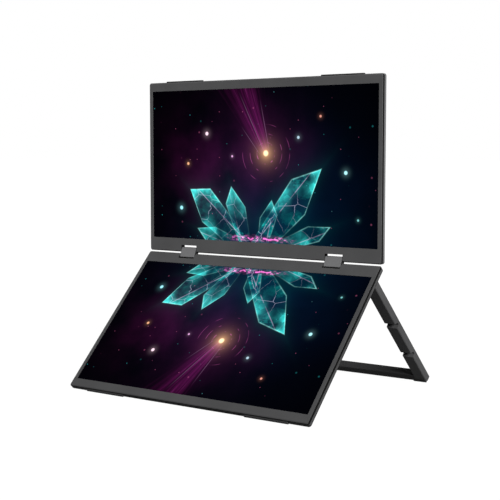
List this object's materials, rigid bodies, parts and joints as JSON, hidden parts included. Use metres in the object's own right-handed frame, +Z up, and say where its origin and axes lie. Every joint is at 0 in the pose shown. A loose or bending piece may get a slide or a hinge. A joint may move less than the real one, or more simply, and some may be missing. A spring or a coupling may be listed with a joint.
{
  "type": "laptop screen extender",
  "caption": "Stacked double-screen extender for a laptop: flat displays joined by double-axis hinge blocks, on a folding U-shaped kickstand.",
  "frame": {"origin": "on the desk, under the middle of the object's bounding box", "axes": "+X to the viewer's right along the displays, +Y away from the viewer, +Z up"},
  "size_m": [0.3572, 0.3036, 0.3885],
  "materials": {
    "bezel": "matt",
    "screen": "glossy black glass",
    "light_sheet": "satin",
    "light_guide": "clear",
    "led": "satin",
    "tray": "rolled",
    "cover": "fine matt anodised",
    "circuit_board": "solder mask",
    "socket": "nickel plated",
    "flat_cable": "satin",
    "steel": "bright",
    "screw": "black oxide",
    "rubber": "matt",
    "button": "matt",
    "speaker": "matt",
    "bracket": "matt anodised",
    "hinge_metal": "satin anodised",
    "sleeve": "satin",
    "stand": "fine matt anodised",
    "bushing": "matt",
    "washer": "bright"
  },
  "bodies": {
    "lower_display": {"lower_bezel": "bezel", "lower_screen_panel": "screen", "lower_light_sheets": "light_sheet", "lower_light_guide": "light_guide", "lower_led_strip": "led", "lower_backlight_tray": "tray", "lower_rear_cover": "cover", "lower_driver_board": "circuit_board", "lower_usb_c_sockets": "socket", "lower_mini_hdmi_socket": "socket", "lower_flat_cable": "flat_cable", "lower_hinge_brackets": "steel", "lower_hinge_pins": "steel", "lower_hinge_screws": "screw", "lower_rubber_feet": "rubber", "speakers": "speaker", "stand_brackets": "bracket", "stand_bracket_screws": "screw", "stand_pivot_pins": "steel"},
    "hinge_links": {"hinge_blocks": "hinge_metal", "hinge_friction_sleeves": "sleeve"},
    "upper_display": {"upper_bezel": "bezel", "upper_screen_panel": "screen", "upper_light_sheets": "light_sheet", "upper_light_guide": "light_guide", "upper_led_strip": "led", "upper_backlight_tray": "tray", "upper_rear_cover": "cover", "upper_driver_board": "circuit_board", "upper_usb_c_socket": "socket", "upper_mini_hdmi_socket": "socket", "upper_flat_cable": "flat_cable", "upper_hinge_brackets": "steel", "upper_hinge_pins": "steel", "upper_hinge_screws": "screw", "upper_rubber_feet": "rubber"},
    "stand": {"stand_frame": "stand", "stand_foot_pads": "rubber", "stand_bushings": "bushing", "stand_friction_washers": "washer"},
    "lower_power_key": {"lower_power_button": "button"},
    "lower_menu_key": {"lower_menu_button": "button"},
    "upper_power_key": {"upper_power_button": "button"},
    "upper_menu_key": {"upper_menu_button": "button"}
  },
  "joints": [
    {"name": "lower_hinge", "type": "hinge", "parent": "lower_display", "child": "hinge_links", "pos_m": [0, 0.00528, 0.15867], "axis": [1, 0, 0], "range_deg": [-22.4, 67.6]},
    {"name": "upper_hinge", "type": "hinge", "parent": "hinge_links", "child": "upper_display", "pos_m": [0, 0.0086, 0.16672], "axis": [1, 0, 0], "range_deg": [-22.4, 67.6]},
    {"name": "stand_fold", "type": "hinge", "parent": "lower_display", "child": "stand", "pos_m": [0, 0.00632, 0.14439], "axis": [1, 0, 0], "range_deg": [-90, 0]},
    {"name": "lower_power_press", "type": "slide", "parent": "lower_display", "child": "lower_power_key", "axis": [1, 0, 0], "range_m": [0, 0.00035], "stiffness_N_per_m": 3000, "springref_m": -0.0001},
    {"name": "lower_menu_press", "type": "slide", "parent": "lower_display", "child": "lower_menu_key", "axis": [1, 0, 0], "range_m": [0, 0.00035], "stiffness_N_per_m": 3000, "springref_m": -0.0001},
    {"name": "upper_power_press", "type": "slide", "parent": "upper_display", "child": "upper_power_key", "axis": [1, 0, 0], "range_m": [0, 0.00035], "stiffness_N_per_m": 3000, "springref_m": -0.0001},
    {"name": "upper_menu_press", "type": "slide", "parent": "upper_display", "child": "upper_menu_key", "axis": [1, 0, 0], "range_m": [0, 0.00035], "stiffness_N_per_m": 3000, "springref_m": -0.0001}
  ],
  "couplings": [
    {"joint": "upper_hinge", "follows": "lower_hinge", "ratio": 1}
  ]
}
